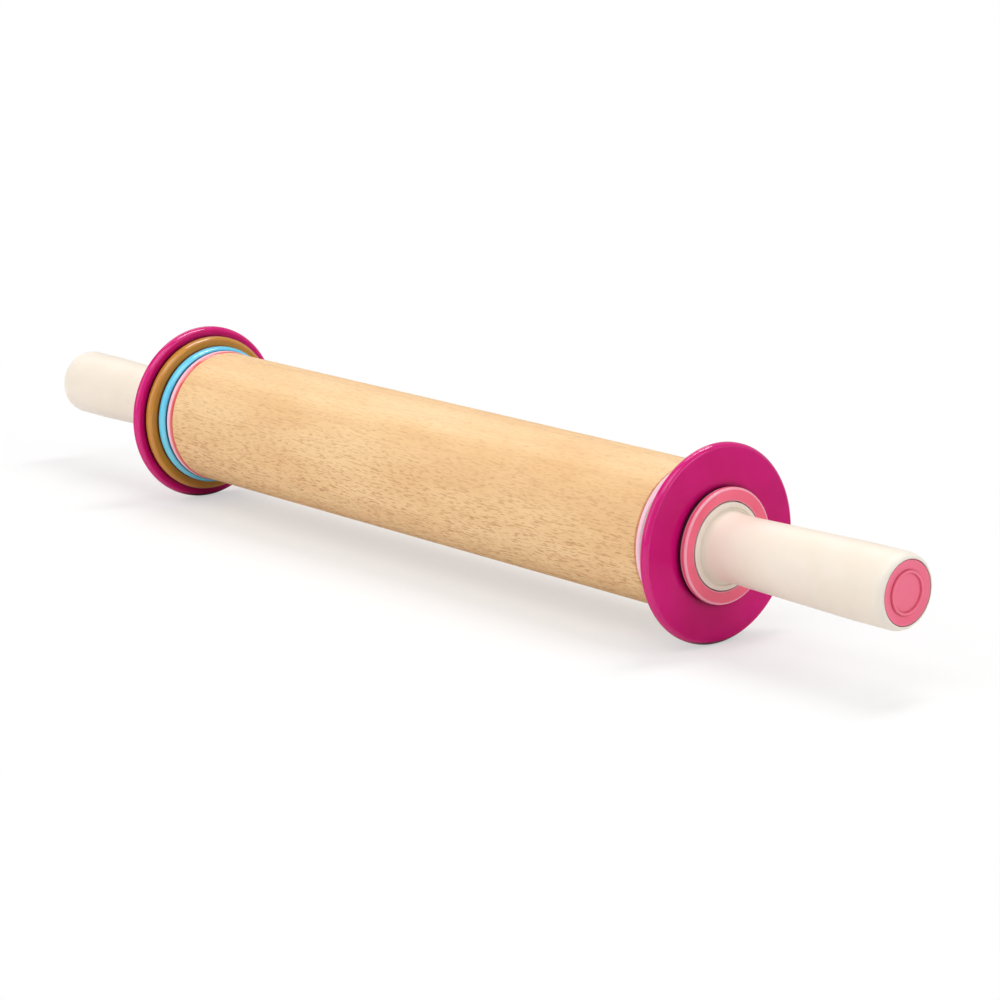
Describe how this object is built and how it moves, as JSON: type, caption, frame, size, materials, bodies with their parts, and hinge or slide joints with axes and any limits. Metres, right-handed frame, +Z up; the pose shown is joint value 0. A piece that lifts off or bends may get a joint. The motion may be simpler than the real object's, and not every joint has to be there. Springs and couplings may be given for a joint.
{
  "type": "adjustable rolling pin",
  "caption": "Wooden rolling pin on a turning axle, with removable spacer rings at both ends that set the dough thickness, held by screw collars.",
  "frame": {"origin": "middle of the barrel, on its axis", "axes": "+X along the barrel towards the right-hand handle, +Z up"},
  "size_m": [0.5218, 0.0776, 0.0776],
  "materials": {
    "beech": "oiled beech, fine flecks",
    "axle_steel": "drawn bar",
    "white_moulding": "moulded",
    "bearing_plastic": "slippery nylon",
    "pink_ring": "glossy moulding",
    "blue_ring": "glossy moulding",
    "orange_ring": "glossy moulding",
    "magenta_ring": "glossy moulding",
    "dark_washer": "dull",
    "pink_collar": "satin moulding",
    "ivory_handle": "satin moulding",
    "plated_steel": "zinc plated",
    "pink_cap": "satin moulding"
  },
  "bodies": {
    "barrel": {"barrel": "beech", "left_spigot": "white_moulding", "right_spigot": "white_moulding", "left_bearing": "bearing_plastic", "right_bearing": "bearing_plastic"},
    "handles": {"axle": "axle_steel", "left_thrust_washer": "bearing_plastic", "left_handle": "ivory_handle", "left_axle_washer": "plated_steel", "left_axle_nut": "plated_steel", "left_end_cap": "pink_cap", "right_thrust_washer": "bearing_plastic", "right_handle": "ivory_handle", "right_axle_washer": "plated_steel", "right_axle_nut": "plated_steel", "right_end_cap": "pink_cap"},
    "left_pink_ring": {"left_pink_ring": "pink_ring"},
    "left_blue_ring": {"left_blue_ring": "blue_ring"},
    "left_orange_ring": {"left_orange_ring": "orange_ring"},
    "left_magenta_ring": {"left_magenta_ring": "magenta_ring"},
    "left_collar_washer": {"left_collar_washer": "dark_washer"},
    "left_collar": {"left_collar": "pink_collar"},
    "right_pink_ring": {"right_pink_ring": "pink_ring"},
    "right_blue_ring": {"right_blue_ring": "blue_ring"},
    "right_orange_ring": {"right_orange_ring": "orange_ring"},
    "right_magenta_ring": {"right_magenta_ring": "magenta_ring"},
    "right_collar_washer": {"right_collar_washer": "dark_washer"},
    "right_collar": {"right_collar": "pink_collar"}
  },
  "joints": [
    {"name": "handle_spin", "type": "hinge", "parent": "barrel", "child": "handles", "pos_m": [0, 0, 0], "axis": [1, 0, 0], "continuous": true},
    {"name": "left_rings_off", "type": "slide", "parent": "barrel", "child": "left_pink_ring", "axis": [-1, 0, 0], "range_m": [0, 0.115]},
    {"name": "left_collar_travel", "type": "slide", "parent": "left_pink_ring", "child": "left_collar_washer", "axis": [-1, 0, 0], "range_m": [0, 0.0105]},
    {"name": "left_collar_turn", "type": "hinge", "parent": "left_collar_washer", "child": "left_collar", "pos_m": [-0.15, 0, 0], "axis": [-1, 0, 0], "range_deg": [0, 1260.5]},
    {"name": "left_blue_ring_gap", "type": "slide", "parent": "left_pink_ring", "child": "left_blue_ring", "axis": [-1, 0, 0], "range_m": [0, 0.00264]},
    {"name": "left_orange_ring_gap", "type": "slide", "parent": "left_pink_ring", "child": "left_orange_ring", "axis": [-1, 0, 0], "range_m": [0, 0.00526]},
    {"name": "left_magenta_ring_gap", "type": "slide", "parent": "left_pink_ring", "child": "left_magenta_ring", "axis": [-1, 0, 0], "range_m": [0, 0.00788]},
    {"name": "right_rings_off", "type": "slide", "parent": "barrel", "child": "right_pink_ring", "axis": [1, 0, 0], "range_m": [0, 0.115]},
    {"name": "right_collar_travel", "type": "slide", "parent": "right_pink_ring", "child": "right_collar_washer", "axis": [1, 0, 0], "range_m": [0, 0.0105]},
    {"name": "right_collar_turn", "type": "hinge", "parent": "right_collar_washer", "child": "right_collar", "pos_m": [0.15, 0, 0], "axis": [1, 0, 0], "range_deg": [0, 1260.5]},
    {"name": "right_blue_ring_gap", "type": "slide", "parent": "right_pink_ring", "child": "right_blue_ring", "axis": [1, 0, 0], "range_m": [0, 0.00264]},
    {"name": "right_orange_ring_gap", "type": "slide", "parent": "right_pink_ring", "child": "right_orange_ring", "axis": [1, 0, 0], "range_m": [0, 0.00526]},
    {"name": "right_magenta_ring_gap", "type": "slide", "parent": "right_pink_ring", "child": "right_magenta_ring", "axis": [1, 0, 0], "range_m": [0, 0.00788]}
  ],
  "couplings": [
    {"joint": "left_collar_turn", "follows": "left_collar_travel", "rad_per_m": 2094.4},
    {"joint": "left_blue_ring_gap", "follows": "left_collar_travel", "ratio": 0.25},
    {"joint": "left_orange_ring_gap", "follows": "left_collar_travel", "ratio": 0.5},
    {"joint": "left_magenta_ring_gap", "follows": "left_collar_travel", "ratio": 0.75},
    {"joint": "right_collar_turn", "follows": "right_collar_travel", "rad_per_m": 2094.4},
    {"joint": "right_blue_ring_gap", "follows": "right_collar_travel", "ratio": 0.25},
    {"joint": "right_orange_ring_gap", "follows": "right_collar_travel", "ratio": 0.5},
    {"joint": "right_magenta_ring_gap", "follows": "right_collar_travel", "ratio": 0.75}
  ]
}
